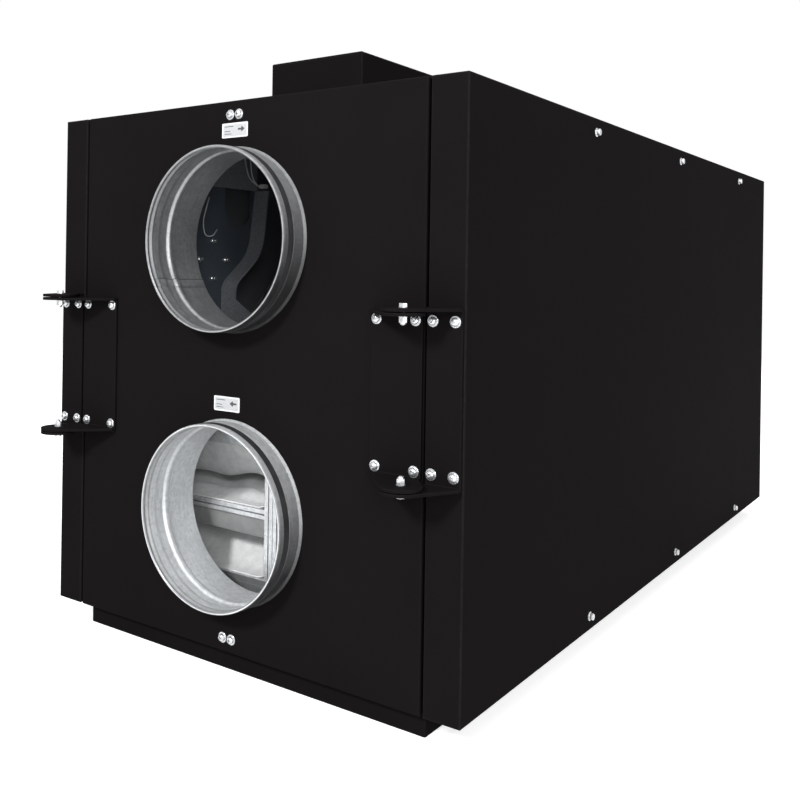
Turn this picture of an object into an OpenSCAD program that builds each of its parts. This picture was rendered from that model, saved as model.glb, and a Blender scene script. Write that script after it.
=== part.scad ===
// Compact air handling unit: insulated casing with two hinged side doors, four round duct
// spigots, a counterflow plate heat exchanger, two fans and two pocket filters.
// Millimetres. X runs across the front, the front face looks along -Y, Z is up from the floor.

/* [Casing] */
// Width over both doors
case_w = 568; // [540:1:640]
// Depth from the front face to the back face
case_d = 1190; // [1150:5:1400]
// Height of doors and end panels
case_h = 600; // [590:1:660]
// Thickness of the end panels that carry the spigots
end_t = 40; // [30:1:50]
// Thickness of the roof and floor panels
deck_t = 30; // [24:1:36]
// Radius of the folded sheet edges
fold_r = 2; // [1:0.5:4]

/* [Base] */
// Height of the base pan, which carries the casing above the floor
base_h = 25; // [15:1:40]
// How far the base pan stands back from the front and back faces
base_setback = 15; // [5:1:40]
// How far the base pan stands in from the sides of the core
base_inset = 2; // [0:0.5:20]

/* [Doors] */
// Thickness of a side door
door_t = 40; // [30:1:50]
// Open joint between a closed door and the core
door_seam = 3; // [2:0.5:5]
// Width of the rubber gasket strip on the inside of a door
gasket_w = 14; // [8:1:20]
// Room left between the gasket and the core when the door is shut
gasket_room = 0.5; // [0.3:0.1:1]
// Thickness of the sheet that lines the inside of a door
liner_t = 1.5; // [1:0.1:3]
// Width of the plain border around the liner
liner_border = 30; // [24:1:60]
// Play of the liner in its recess
liner_play = 0.2; // [0.1:0.1:0.5]
// Distance of the gasket from the door's edges
gasket_edge = 8; // [6:1:9]

/* [Door hinges] */
// Thickness of the hinge plates
leaf_t = 3; // [2:0.5:4]
// Height of the fixed leaf over its two flanges
leaf_h = 159; // [140:1:200]
// Distance from the outer side of the door to the inner end of the fixed leaf
leaf_reach = 101; // [90:1:120]
// Depth of the flanges at the ends of the web
flange_root = 7; // [5:1:12]
// Distance from the outer side of the door to the pivot axis
pivot_in = 42.5; // [41:0.5:46]
// Distance of the pivot axis in front of the front face
pivot_out = 40; // [36:1:50]
// Radius of the rounded tongue about the pivot
tongue_r = 20; // [16:1:24]
// Radius of the pivot bolts
bolt_r = 2; // [1.5:0.5:3]
// Radial play of the pivot bolts in the leaves
bolt_play = 0.3; // [0.2:0.1:0.5]
// Width across the flats of bolt heads and nuts
hex_af = 7; // [6:0.5:7]
// Height of bolt heads
hex_h = 3; // [2.5:0.5:5]
// Height of the cap nuts' hexagons
nut_h = 5; // [3:0.5:6]
// Radius of the round flanges under bolt heads and nuts
flange_r = 4.2; // [4.1:0.1:5.5]
// Thickness of those flanges
flange_t = 1; // [0.5:0.5:1.5]
// Radius of the nuts' domed caps
dome_r = 2.8; // [2.5:0.1:3.2]
// Washer gap between the two leaves
leaf_gap = 1; // [0.5:0.1:2]
// Distance of a leaf's edge from the door seam
leaf_edge = 1; // [0.5:0.5:3]
// Distance of the door leaf's edge from the door's outer side
leaf_margin = 2; // [1:0.5:5]

/* [Spigots] */
// Outer radius of the spigot tube, which takes a round duct of nominal size
spigot_r = 99.5; // [90:0.5:104]
// Sheet thickness of the spigot
spigot_t = 1.5; // [1:0.1:2]
// Height between the upper and lower spigot axes
spigot_pitch = 296; // [280:1:320]
// Length of the spigot in front of the face
spigot_out = 36; // [30:1:60]
// Length of the spigot behind the face
spigot_in = 45; // [42:1:60]
// Distance of the seal groove's middle in front of the face
groove_at = 24; // [18:0.5:26]
// Width of the seal groove
groove_w = 9; // [6:0.5:10]
// Depth of the seal groove, and of the stop ring pressed into the tube
groove_h = 2.5; // [2:0.1:3]
// Sheet thickness under the groove
rib_t = 1; // [0.8:0.1:1.5]
// Length of the slopes on both sides of the groove's ridge inside the tube
rib_slope = 7; // [4:0.5:8]
// Width of the stop ring, half way along the tube
ring_w = 12; // [8:0.5:14]
// Width of the stop ring's flat top
ring_flat = 2; // [1:0.5:4]
// Height of the stop bead that lies on the front face
bead_h = 2; // [1.5:0.5:8]
// Radial play of the spigot in its panel
spigot_play = 0.4; // [0.2:0.1:1]
// Height of the pressed-in seal lips above the tube
lip_h = 0.4; // [0.2:0.1:0.5]

/* [Heat exchanger] */
// Length of the chambers between the end panels and the exchanger
chamber_l = 216; // [200:1:225]
// Clearance between the exchanger and the sides of the core
exchanger_side = 4; // [3:0.5:8]
// Height of the rails above and below the exchanger
rail_h = 6; // [4:0.5:10]
// Sheet thickness of the exchanger's end plates and corner strips
strip_t = 1.5; // [1:0.1:2]
// Leg length of the corner strips
strip_leg = 18; // [12:1:25]
// Thickness of the shelves between the upper and lower chambers
shelf_t = 20; // [12:1:30]
// Gap between a shelf and the exchanger's edge
shelf_gap = 0.3; // [0.2:0.1:1]

/* [Fans] */
// Distance from the core's side to the fan plate's face
fan_plate_in = 57; // [50:1:70]
// Thickness of the fan plate
fan_plate_t = 2; // [1.5:0.5:3]
// Distance of the fan axis behind the front face
fan_back = 164; // [150:1:180]
// Height of the fan axis above the shelf
fan_up = 119; // [105:1:125]
// Radius of the fan wheel
wheel_r = 72; // [60:1:85]
// Width of the fan wheel
wheel_w = 32; // [24:1:36]
// Radius of the fan motor
motor_r = 31; // [24:1:36]
// Length of the fan motor between its plate and the wheel
motor_l = 14; // [8:1:16]
// Number of fan blades
blades = 9; // [5:1:13]
// Angle that a blade sweeps back from its root to its tip
blade_sweep = 55; // [30:1:70]
// Thickness of the wheel's discs and blades
blade_t = 2; // [1.5:0.5:3]
// Height of the fan plate above the shelf
fan_plate_h = 217; // [200:1:228]
// Width of the scroll wall that stands along the fan plate's curved edge
wall_w = 25; // [15:1:35]
// Thickness of the scroll wall
wall_t = 3; // [2:0.5:5]
// Radius of the scroll's tongue
tongue_bend = 20; // [15:1:25]
// Height of the tongue's axis above the shelf
tongue_up = 76; // [60:1:85]
// Distance of the scroll wall's foot behind the fan axis
foot_back = 22; // [15:1:40]
// Lean of the stretch above the tongue, from level
slope_a = 38; // [30:1:45]
// Length of that stretch
slope_l = 35; // [25:1:45]
// Radius of the bend above it
sweep_r = 60; // [50:1:70]
// Lean of the scroll wall's upper end, from level
rise_a = 82; // [75:1:88]
// Length of the foot plate that widens the scroll wall at the shelf
foot_l = 105; // [80:1:130]
// Radius of the cable notch in the fan plate
notch_r = 26; // [20:1:28]
// Distance of the cable notch behind the fan axis
notch_back = 51; // [48:1:54]

/* [Filters] */
// Distance of the filter face behind the front face
filter_back = 75; // [65:1:80]
// Height of a filter cell
cell_h = 173; // [150:1:180]
// Height of the filter cells' underside above the floor panel
cell_up = 16; // [10:1:40]
// Depth of a filter cell's frame
cell_d = 25; // [20:1:30]
// Width of the frame bars at the sides of a cell
stile_w = 12; // [8:1:25]
// Height of the frame bars above, below and between the pockets
bar_h = 11; // [8:1:16]
// Width of the grooves between the folds of the frame's sheet
fold_gap = 1.5; // [1:0.5:3]
// Depth of those grooves
fold_depth = 5; // [3:1:8]
// Length of the filter pockets behind the frame
pocket_l = 130; // [80:5:150]
// Height of a pocket at its closed end
pocket_end = 22; // [10:1:30]
// Play between filter cells and what holds them
cell_play = 0.5; // [0.3:0.1:1]
// Distance of the cloth behind the frame's face
cloth_set = 6; // [3:1:10]
// Sheet thickness of the filter rails
rail_t = 2; // [1.5:0.5:3]
// Height of the rail lips that hold the edge of a filter cell
rail_lip = 4; // [3:0.5:8]

/* [Control box] */
// Width of the control box
box_w = 136; // [110:1:160]
// Length of the control box
box_l = 320; // [280:5:400]
// Height of the control box
box_h = 73; // [60:1:90]
// Distance of the control box behind the front face
box_back = 145; // [130:1:200]
// Sheet thickness of the control box cover
cover_t = 1.5; // [1:0.1:2]
// Radius of the cable glands' flanges
gland_r = 9; // [7:0.5:12]
// Radius of the cable glands' caps
gland_cap_r = 7; // [5:0.5:8]
// Distance between the cable glands
gland_pitch = 34; // [26:1:40]
// Height of a gland's flange, and half that of its cap
gland_h = 4.5; // [3:0.5:6]

/* [Hidden] */
$fn = 96;
cut = 1;
press = 0.5;
eye_share = 0.62;
fan_margin = 20;
seal_play = 0.1;
front = case_d / 2;
half_w = case_w / 2;
core = half_w - door_t - door_seam;
z_low = base_h;
z_top = base_h + case_h;
z_mid = base_h + case_h / 2;
z_floor = z_low + deck_t;
z_roof = z_top - deck_t;
inner_front = front - end_t;
tube_r = spigot_r - spigot_t;
throat_r = tube_r - groove_h;
rib_r = spigot_r - groove_h - rib_t;
bead_l = 8 * press;
bend_steps = 6;
hole_r = spigot_r + spigot_play;

exchanger_half = core - exchanger_side;
hex_rise = (z_roof - z_floor) / 2 - rail_h;
hex_half = inner_front - chamber_l;
flat_half = hex_half - hex_rise;

shelf_top = z_mid + shelf_t / 2;
fan_x = core - fan_plate_in;
fan_y = -front + fan_back;
fan_z = shelf_top + fan_up;

cell_w = core - cell_play;
cell_low = z_floor + cell_up;
mouth_h = (cell_h - 3 * bar_h) / 2;
mouth_w = cell_w - 2 * stile_w;

pivot_x = half_w - pivot_in;
pivot_y = -front - pivot_out;
door_leaf_h = leaf_h + 2 * (leaf_t + leaf_gap);

black = [0.03, 0.03, 0.032];
dark = [0.07, 0.07, 0.08];
zinc = [0.72, 0.73, 0.75];
bright = [0.85, 0.86, 0.88];
rubber = [0.02, 0.02, 0.02];
cloth = [0.85, 0.86, 0.86];
alloy = [0.78, 0.8, 0.82];

// Points of an arc about c, from angle a to angle b
function arc(c, r, a, b, steps = 8) =
    [for (i = [0 : steps]) c + r * [cos(a + (b - a) * i / steps), sin(a + (b - a) * i / steps)]];

// Rectangle from low to high with its four corners rounded
function rounded_rect(low, high, r) = concat(
    arc([high[0] - r, high[1] - r], r, 0, 90, 3),
    arc([low[0] + r, high[1] - r], r, 90, 180, 3),
    arc([low[0] + r, low[1] + r], r, 180, 270, 3),
    arc([high[0] - r, low[1] + r], r, 270, 360, 3));

// Point where a line from p touches the circle about c, on the side given by turn
function touch(p, c, r, turn) =
    let (gap = p - c, lean = turn * acos(r / norm(gap)), to = atan2(gap[1], gap[0]) + lean)
    c + r * [cos(to), sin(to)];

// The back end is the front end turned half round
module at_back() rotate([0, 0, 180]) children();

// The left side is the right side mirrored
module at_left() mirror([1, 0, 0]) children();

// Stands a profile drawn in Y and Z up, and carries it along X from x_low
module along_x(x_low, length)
    translate([x_low, 0, 0]) rotate([90, 0, 90]) linear_extrude(length) children();

// Block from low to high, with all its edges rounded as folded sheet is
module folded_block(low, high)
    intersection() {
        translate([0, 0, low[2]]) linear_extrude(high[2] - low[2])
            polygon(rounded_rect([low[0], low[1]], [high[0], high[1]], fold_r));
        along_x(low[0], high[0] - low[0])
            polygon(rounded_rect([low[1], low[2]], [high[1], high[2]], fold_r));
        translate([0, high[1], 0]) rotate([90, 0, 0]) linear_extrude(high[1] - low[1])
            polygon(rounded_rect([low[0], low[2]], [high[0], high[2]], fold_r));
    }

// Puts the children on a spigot's axis, with Z pointing out of the front face
module on_spigot(up) translate([0, -front, z_mid + up * spigot_pitch / 2]) rotate([90, 0, 0]) children();

module end_panel()
    color(black) difference() {
        folded_block([-core, -front, z_low], [core, -inner_front, z_top]);
        for (up = [-1, 1]) on_spigot(up) translate([0, 0, -end_t - cut])
            cylinder(r = hole_r, h = end_t + 2 * cut);
    }

module front_panel() end_panel();
module back_panel() at_back() end_panel();

module deck(z) color(black) translate([-core, -inner_front, z]) cube([2 * core, 2 * inner_front, deck_t]);
module roof_panel() deck(z_roof);
module floor_panel() deck(z_low);

module base_pan()
    color(black) linear_extrude(base_h)
        polygon(rounded_rect(
            [base_inset - core, base_setback - front], [core - base_inset, front - base_setback], fold_r));

module control_box()
    color(black) translate([cover_t - box_w / 2, box_back - front, z_top])
        cube([box_w - 2 * cover_t, box_l, box_h - cover_t]);

// Folded sheet over the top and both sides of the box
module control_box_cover()
    color(black) translate([0, box_back - front, z_top]) rotate([90, 0, 180])
        linear_extrude(box_l) difference() {
            polygon(concat(
                [[-box_w / 2, 0], [box_w / 2, 0]],
                arc([box_w / 2 - fold_r, box_h - fold_r], fold_r, 0, 90, 3),
                arc([fold_r - box_w / 2, box_h - fold_r], fold_r, 90, 180, 3)));
            translate([cover_t - box_w / 2, -cut]) square([box_w - 2 * cover_t, box_h - cover_t + cut]);
        }

module control_box_glands()
    color(dark) for (i = [-1, 0, 1])
        translate([i * gland_pitch, box_back + box_l - front, z_top + box_h / 2]) rotate([-90, 0, 0]) {
            cylinder(r = gland_r, h = gland_h, $fn = 6);
            translate([0, 0, gland_h]) cylinder(r = gland_cap_r, h = 2 * gland_h);
        }

// Points of a soft bend between two points (radius, height), level at both ends
function soft_bend(from, to) = [
    for (i = [0:bend_steps])
        let (t = i / bend_steps, share = (1 - cos(180 * t)) / 2)
        [from[0] + share * (to[0] - from[0]), from[1] + t * (to[1] - from[1])]
];

// Tube with a stop bead on the face, a pressed seal groove, an inward rolled rim and a stop ring inside
module spigot(up) {
    groove_low = groove_at - groove_w / 2;
    groove_high = groove_at + groove_w / 2;
    rim_low = spigot_out - 2 * spigot_t;
    outside = [
        [spigot_r, -spigot_in],
        [spigot_r, 0],
        [spigot_r + bead_h - press, 0],
        [spigot_r + bead_h, 2 * press],
        [spigot_r + bead_h - 2 * press, 5 * press],
        [spigot_r, bead_l],
        [spigot_r, groove_low],
        [spigot_r - groove_h, groove_low + press],
        [spigot_r - groove_h, groove_high - press],
        [spigot_r, groove_high],
        [spigot_r, spigot_out - spigot_t],
        [spigot_r - press, spigot_out]
    ];
    rim = [
        [tube_r - press, spigot_out],
        [tube_r - spigot_t, spigot_out - spigot_t / 2],
        [tube_r - spigot_t, spigot_out - spigot_t],
        [tube_r, rim_low]
    ];
    ridge_high = min(groove_high + rib_slope, rim_low - press);
    ridge_low = max(groove_low - rib_slope, ring_w / 2 + press);
    ridge_front = soft_bend([tube_r, ridge_high], [rib_r, groove_high - press]);
    ridge_back = soft_bend([rib_r, groove_low + press], [tube_r, ridge_low]);
    ring_front = soft_bend([tube_r, ring_w / 2], [throat_r, ring_flat / 2]);
    ring_back = soft_bend([throat_r, -ring_flat / 2], [tube_r, -ring_w / 2]);
    color(zinc) on_spigot(up) rotate_extrude()
        polygon(concat(outside, rim, ridge_front, ridge_back, ring_front, ring_back, [[tube_r, -spigot_in]]));
}

// Rubber seal with two lips, lying in the spigot's groove
module seal(up) {
    low = groove_at - groove_w / 2 + press + seal_play;
    high = groove_at + groove_w / 2 - press - seal_play;
    root = spigot_r - groove_h + seal_play;
    valley = spigot_r - lip_h;
    color(rubber) on_spigot(up) rotate_extrude() polygon([
        [root, low],
        [valley, low],
        [spigot_r + lip_h, low + press],
        [valley, groove_at],
        [spigot_r + lip_h, groove_at + press],
        [valley, high],
        [root, high]
    ]);
}

module front_upper_spigot() spigot(1);
module front_lower_spigot() spigot(-1);
module back_upper_spigot() at_back() spigot(1);
module back_lower_spigot() at_back() spigot(-1);
module front_upper_seal() seal(1);
module front_lower_seal() seal(-1);
module back_upper_seal() at_back() seal(1);
module back_lower_seal() at_back() seal(-1);

// Shelf with a notched edge that takes the exchanger's corner
module shelf()
    color(dark) along_x(-core, 2 * core) polygon([
        [-inner_front, z_mid - shelf_t / 2],
        [shelf_t / 2 - shelf_gap - hex_half, z_mid - shelf_t / 2],
        [-shelf_gap - hex_half, z_mid],
        [shelf_t / 2 - shelf_gap - hex_half, z_mid + shelf_t / 2],
        [-inner_front, z_mid + shelf_t / 2]
    ]);

module front_shelf() shelf();
module back_shelf() at_back() shelf();

// Corners of the exchanger's six-sided outline, drawn in by a distance
function hex_points(inset) =
    let (rise = hex_rise - inset, tip = hex_half - inset * sqrt(2), level = tip - rise)
    [[-tip, 0], [-level, -rise], [level, -rise], [tip, 0], [level, rise], [-level, rise]];

module hex_outline(inset) translate([0, z_mid]) polygon(hex_points(inset));

module exchanger_core()
    color(alloy) along_x(strip_t - exchanger_half, 2 * (exchanger_half - strip_t)) hex_outline(strip_t);

// End plates and the folded strips along the six corners
module exchanger_frame()
    color(zinc) {
        for (x = [-exchanger_half, exchanger_half - strip_t]) along_x(x, strip_t) hex_outline(0);
        outer = hex_points(0);
        inner = hex_points(strip_t);
        for (i = [0 : 5]) {
            before = (outer[(i + 5) % 6] - outer[i]) / norm(outer[(i + 5) % 6] - outer[i]);
            after = (outer[(i + 1) % 6] - outer[i]) / norm(outer[(i + 1) % 6] - outer[i]);
            along_x(strip_t - exchanger_half, 2 * (exchanger_half - strip_t)) translate([0, z_mid])
                polygon([
                    outer[i] + before * strip_leg, outer[i], outer[i] + after * strip_leg,
                    inner[i] + after * strip_leg, inner[i], inner[i] + before * strip_leg
                ]);
        }
    }

module exchanger_rails()
    color(zinc) for (z = [z_floor, z_roof - rail_h])
        translate([-exchanger_half, -flat_half, z]) cube([2 * exchanger_half, 2 * flat_half, rail_h]);

// Scroll line in Y and Z, from the foot on the shelf round the tongue and up to the plate's top edge.
// A shift moves it sideways, towards the fan axis, so that two such lines bound the scroll wall.
function scroll_line(shift) =
    let (
        tongue_mid = [fan_y + foot_back + tongue_bend, shelf_top + tongue_up],
        lean = 90 + slope_a,
        slope_start = tongue_mid + tongue_bend * [cos(lean), sin(lean)],
        slope_end = slope_start + slope_l * [cos(slope_a), sin(slope_a)],
        sweep_mid = slope_end + sweep_r * [cos(lean), sin(lean)],
        sweep_end = sweep_mid + (sweep_r - shift) * [cos(rise_a - 90), sin(rise_a - 90)],
        rise = shelf_top + fan_plate_h - sweep_end[1]
    ) concat(
        [[fan_y + foot_back - shift, shelf_top]],
        arc(tongue_mid, tongue_bend + shift, 180, lean),
        arc(sweep_mid, sweep_r - shift, slope_a - 90, rise_a - 90),
        [sweep_end + rise * [1 / tan(rise_a), 1]]);

function reversed(points) = [for (i = [len(points) - 1 : -1 : 0]) points[i]];

// Motor plate with a scroll wall along its curved edge, a foot plate and a notch for the cables
module fan_plate()
    color(dark) {
        plate_front = -inner_front + fan_margin;
        plate_top = shelf_top + fan_plate_h;
        difference() {
            along_x(-fan_x - fan_plate_t, fan_plate_t)
                polygon(concat([[plate_front, plate_top], [plate_front, shelf_top]], scroll_line(0)));
            translate([-fan_x - fan_plate_t - cut, fan_y + notch_back, plate_top - notch_r]) rotate([0, 90, 0])
                cylinder(r = notch_r, h = fan_plate_t + 2 * cut);
            translate([-fan_x - fan_plate_t - cut, fan_y + notch_back - notch_r, plate_top - notch_r])
                cube([fan_plate_t + 2 * cut, 2 * notch_r, 2 * notch_r]);
        }
        along_x(-fan_x - fan_plate_t, fan_plate_t + wall_w)
            polygon(concat(scroll_line(0), reversed(scroll_line(wall_t))));
        translate([0, fan_y + foot_back, 0]) rotate([90, 0, 0]) linear_extrude(wall_t) polygon([
            [-fan_x, shelf_top], [wall_w + foot_l - fan_x, shelf_top],
            [wall_w - fan_x, shelf_top + tongue_up - tongue_bend / 2],
            [-fan_x, shelf_top + tongue_up - tongue_bend / 2]
        ]);
    }

module front_fan_plate() fan_plate();
module back_fan_plate() at_back() fan_plate();

module on_fan() translate([-fan_x - fan_plate_t, fan_y, fan_z]) rotate([0, -90, 0]) children();

module fan_motor() color(dark) on_fan() cylinder(r = motor_r, h = motor_l);
module front_fan_motor() fan_motor();
module back_fan_motor() at_back() fan_motor();

// Backward curved blade, a band that turns back as it goes out from the wheel's eye
module blade() {
    steps = 6;
    root = wheel_r * eye_share + blade_t;
    tip = wheel_r - blade_t;
    radius = [for (i = [0 : steps]) root + (tip - root) * i / steps];
    lean = [for (i = [0 : steps]) blade_sweep * i / steps];
    half = [for (i = [0 : steps]) 90 * blade_t / (PI * radius[i])];
    polygon(concat(
        [for (i = [0 : steps]) radius[i] * [cos(lean[i] + half[i]), sin(lean[i] + half[i])]],
        [for (i = [steps : -1 : 0]) radius[i] * [cos(lean[i] - half[i]), sin(lean[i] - half[i])]]));
}

// Wheel with a back disc on the motor, backward curved blades and a front ring about the eye
module fan_wheel()
    color(dark) on_fan() translate([0, 0, motor_l]) {
        cylinder(r = wheel_r, h = blade_t);
        for (i = [0 : blades - 1]) rotate([0, 0, i * 360 / blades]) translate([0, 0, blade_t / 2])
            linear_extrude(wheel_w - blade_t) blade();
        translate([0, 0, wheel_w - blade_t]) difference() {
            cylinder(r = wheel_r, h = blade_t);
            translate([0, 0, -cut]) cylinder(r = wheel_r * eye_share, h = blade_t + 2 * cut);
        }
    }

module front_fan_wheel() fan_wheel();
module back_fan_wheel() at_back() fan_wheel();

// Two filter cells side by side, each with two pocket mouths and grooves along the folds of its sheet
module filter_frame()
    color(zinc) for (side = [0, 1]) mirror([side, 0, 0])
        translate([cell_play / 2, filter_back - front, cell_low]) difference() {
            cube([cell_w, cell_d, cell_h]);
            for (row = [0, 1]) translate([stile_w, -cut, bar_h + row * (mouth_h + bar_h)])
                cube([mouth_w, cell_d + 2 * cut, mouth_h]);
            for (x = [stile_w / 2, cell_w - stile_w / 2]) translate([x - fold_gap / 2, -cut, bar_h])
                cube([fold_gap, fold_depth + cut, cell_h - 2 * bar_h]);
            translate([stile_w, -cut, (cell_h - fold_gap) / 2])
                cube([mouth_w, fold_depth + cut, fold_gap]);
        }

module front_filter_frame() filter_frame();
module back_filter_frame() at_back() filter_frame();

// Wedge-shaped cloth pockets, seated in the frame's mouths
module filter_pockets()
    color(cloth) for (side = [0, 1], row = [0, 1]) mirror([side, 0, 0])
        along_x(cell_play / 2 + stile_w + cell_play, mouth_w - 2 * cell_play)
            translate([filter_back + cloth_set - front, cell_low + (row + 1) * bar_h + (row + 0.5) * mouth_h])
                polygon([
                    [0, -mouth_h / 2 + cell_play], [cell_d, -mouth_h / 2 + cell_play],
                    [cell_d + pocket_l, -pocket_end / 2], [cell_d + pocket_l, pocket_end / 2],
                    [cell_d, mouth_h / 2 - cell_play], [0, mouth_h / 2 - cell_play]
                ]);

module front_filter_pockets() filter_pockets();
module back_filter_pockets() at_back() filter_pockets();

// Channel that takes the edge of a filter cell, standing on legs of a given height
module rail_profile(leg_h) {
    channel_d = cell_d + 2 * (cell_play + rail_t);
    for (y = [0, channel_d - rail_t]) translate([y, 0]) square([rail_t, leg_h + rail_lip]);
    translate([0, leg_h - cell_play - rail_t]) square([channel_d, rail_t]);
}

// Channels on the floor and under the shelf, which hold the filter cells
module filter_rails()
    color(zinc) {
        y_low = filter_back - front - cell_play - rail_t;
        shelf_low = z_mid - shelf_t / 2;
        along_x(-core, 2 * core) translate([y_low, z_floor]) rail_profile(cell_up);
        along_x(-core, 2 * core) translate([y_low, shelf_low]) mirror([0, 1])
            rail_profile(shelf_low - cell_low - cell_h);
    }

module front_filter_rails() filter_rails();
module back_filter_rails() at_back() filter_rails();

// Flange outline from a web end-to-end along the front face, tapering to a round tongue at the pivot
module tongue_outline(inner_u, outer_u) {
    pivot = [pivot_x, pivot_y];
    near = [half_w - inner_u, -front - flange_root];
    far = [half_w - outer_u, -front - flange_root];
    polygon([
        [near[0], -front], near, touch(near, pivot, tongue_r, 1), pivot,
        touch(far, pivot, tongue_r, -1), far, [far[0], -front]
    ]);
    translate(pivot) circle(r = tongue_r);
}

// A web on the end face with a flange at its top and bottom
module leaf(inner_u, outer_u, height)
    color(black) difference() {
        union() {
            translate([half_w - inner_u, -front - leaf_t, z_mid - height / 2])
                cube([inner_u - outer_u, leaf_t, height]);
            for (z = [z_mid - height / 2, z_mid + height / 2 - leaf_t])
                translate([0, 0, z]) linear_extrude(leaf_t) tongue_outline(inner_u, outer_u);
        }
        translate([pivot_x, pivot_y, z_mid - height]) cylinder(r = bolt_r + bolt_play, h = 2 * height);
    }

module fixed_leaf() leaf(leaf_reach, door_t + door_seam + leaf_edge, leaf_h);
module door_leaf() leaf(door_t - leaf_edge, leaf_margin, door_leaf_h);
module right_fixed_leaf() fixed_leaf();
module left_fixed_leaf() at_left() fixed_leaf();
module right_door_leaf() door_leaf();
module left_door_leaf() at_left() door_leaf();

// Flange with a hexagon on it, as on a bolt head or a nut
module flanged_hex(height) {
    cylinder(r = flange_r, h = flange_t);
    cylinder(r = hex_af / sqrt(3), h = flange_t + height, $fn = 6);
}

// Two pivot bolts, each through one pair of flanges, with a head outside and a domed cap nut inside
module hinge_bolts()
    color(bright) translate([pivot_x, pivot_y, z_mid]) for (turn = [0, 180]) rotate([turn, 0, 0]) {
        head_z = door_leaf_h / 2 + bolt_play;
        nut_z = leaf_h / 2 - leaf_t - bolt_play;
        translate([0, 0, nut_z - cut]) cylinder(r = bolt_r, h = head_z - nut_z + 2 * cut);
        translate([0, 0, head_z]) flanged_hex(hex_h);
        translate([0, 0, nut_z]) mirror([0, 0, 1]) flanged_hex(nut_h);
        translate([0, 0, nut_z - flange_t - nut_h]) sphere(r = dome_r);
    }

module right_hinge_bolts() hinge_bolts();
module left_hinge_bolts() at_left() hinge_bolts();

module door()
    color(black) difference() {
        folded_block([half_w - door_t, -front, z_low], [half_w, front, z_top]);
        translate([half_w - door_t - cut, liner_border - front, z_low + liner_border])
            cube([liner_t + cut, case_d - 2 * liner_border, case_h - 2 * liner_border]);
    }

module right_door() door();
module left_door() at_left() door();

module door_liner() {
    edge = liner_border + liner_play;
    color(zinc) translate([half_w - door_t, edge - front, z_low + edge])
        cube([liner_t, case_d - 2 * edge, case_h - 2 * edge]);
}

module right_door_liner() door_liner();
module left_door_liner() at_left() door_liner();

// Rubber strip along the four edges, between the door and the core
module door_gasket()
    color(rubber) translate([core + gasket_room, gasket_edge - front, z_low + gasket_edge]) {
        long = case_d - 2 * gasket_edge;
        high = case_h - 2 * gasket_edge;
        difference() {
            cube([door_seam - gasket_room, long, high]);
            translate([-cut, gasket_w, gasket_w])
                cube([door_seam + 2 * cut, long - 2 * gasket_w, high - 2 * gasket_w]);
        }
    }

module right_door_gasket() door_gasket();
module left_door_gasket() at_left() door_gasket();

front_panel();
back_panel();
roof_panel();
floor_panel();
base_pan();
control_box();
control_box_cover();
control_box_glands();
front_upper_spigot();
front_lower_spigot();
back_upper_spigot();
back_lower_spigot();
front_upper_seal();
front_lower_seal();
back_upper_seal();
back_lower_seal();
front_shelf();
back_shelf();
exchanger_core();
exchanger_frame();
exchanger_rails();
front_fan_plate();
front_fan_motor();
front_fan_wheel();
back_fan_plate();
back_fan_motor();
back_fan_wheel();
front_filter_frame();
front_filter_pockets();
front_filter_rails();
back_filter_frame();
back_filter_pockets();
back_filter_rails();
left_fixed_leaf();
right_fixed_leaf();
left_hinge_bolts();
right_hinge_bolts();
left_door();
left_door_liner();
left_door_gasket();
left_door_leaf();
right_door();
right_door_liner();
right_door_gasket();
right_door_leaf();
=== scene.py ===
"""Finishes, small pieces and a plain studio for a compact air handling unit.

Lengths are metres in the part's own frame: X runs across the front, the front face looks along -Y, Z is up.
"""

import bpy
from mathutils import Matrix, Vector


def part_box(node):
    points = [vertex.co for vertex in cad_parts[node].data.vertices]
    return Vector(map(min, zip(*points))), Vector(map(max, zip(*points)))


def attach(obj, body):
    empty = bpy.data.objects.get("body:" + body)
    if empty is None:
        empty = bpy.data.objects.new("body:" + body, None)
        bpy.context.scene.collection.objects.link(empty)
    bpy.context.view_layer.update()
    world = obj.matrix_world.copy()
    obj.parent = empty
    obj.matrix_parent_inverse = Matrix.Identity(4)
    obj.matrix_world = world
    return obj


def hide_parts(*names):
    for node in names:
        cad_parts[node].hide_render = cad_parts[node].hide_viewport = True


bl_info = {
    "name": "Air handling unit dressing",
    "version": (1, 0, 0),
    "blender": (4, 5, 0),
    "location": "View3D > Sidebar > Air unit",
    "description": "Finishes, fasteners, labels, filter cloth and studio for a compact air handling unit",
    "category": "Object",
}

import math
from functools import cache, reduce

import bmesh
import bpy
import numpy as np
from bpy.props import FloatProperty, FloatVectorProperty, PointerProperty
from mathutils import Matrix, Vector

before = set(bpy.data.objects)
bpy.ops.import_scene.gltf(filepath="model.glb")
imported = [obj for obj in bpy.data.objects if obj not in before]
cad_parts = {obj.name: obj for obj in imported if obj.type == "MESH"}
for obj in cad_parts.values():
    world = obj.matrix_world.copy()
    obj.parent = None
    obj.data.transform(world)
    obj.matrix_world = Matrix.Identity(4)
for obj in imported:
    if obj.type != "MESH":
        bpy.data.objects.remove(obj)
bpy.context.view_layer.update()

FRONT_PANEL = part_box("front_panel")
BACK_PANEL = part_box("back_panel")
RIGHT_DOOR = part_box("right_door")
ROOF_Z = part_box("roof_panel")[0].z
FRONT_Y = FRONT_PANEL[0].y
BACK_Y = BACK_PANEL[1].y
CASE_LOW = RIGHT_DOOR[0].z
CASE_TOP = RIGHT_DOOR[1].z
CASE_MID = (CASE_LOW + CASE_TOP) / 2
HALF_W = RIGHT_DOOR[1].x
ENDS = {"front": 1, "back": -1}
SIDES = {"right": 1, "left": -1}
MM = 0.001

# Points round a filter pocket's girth and along its length
POCKET_POINTS = (240, 44)


# Settings that a user would change

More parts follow.
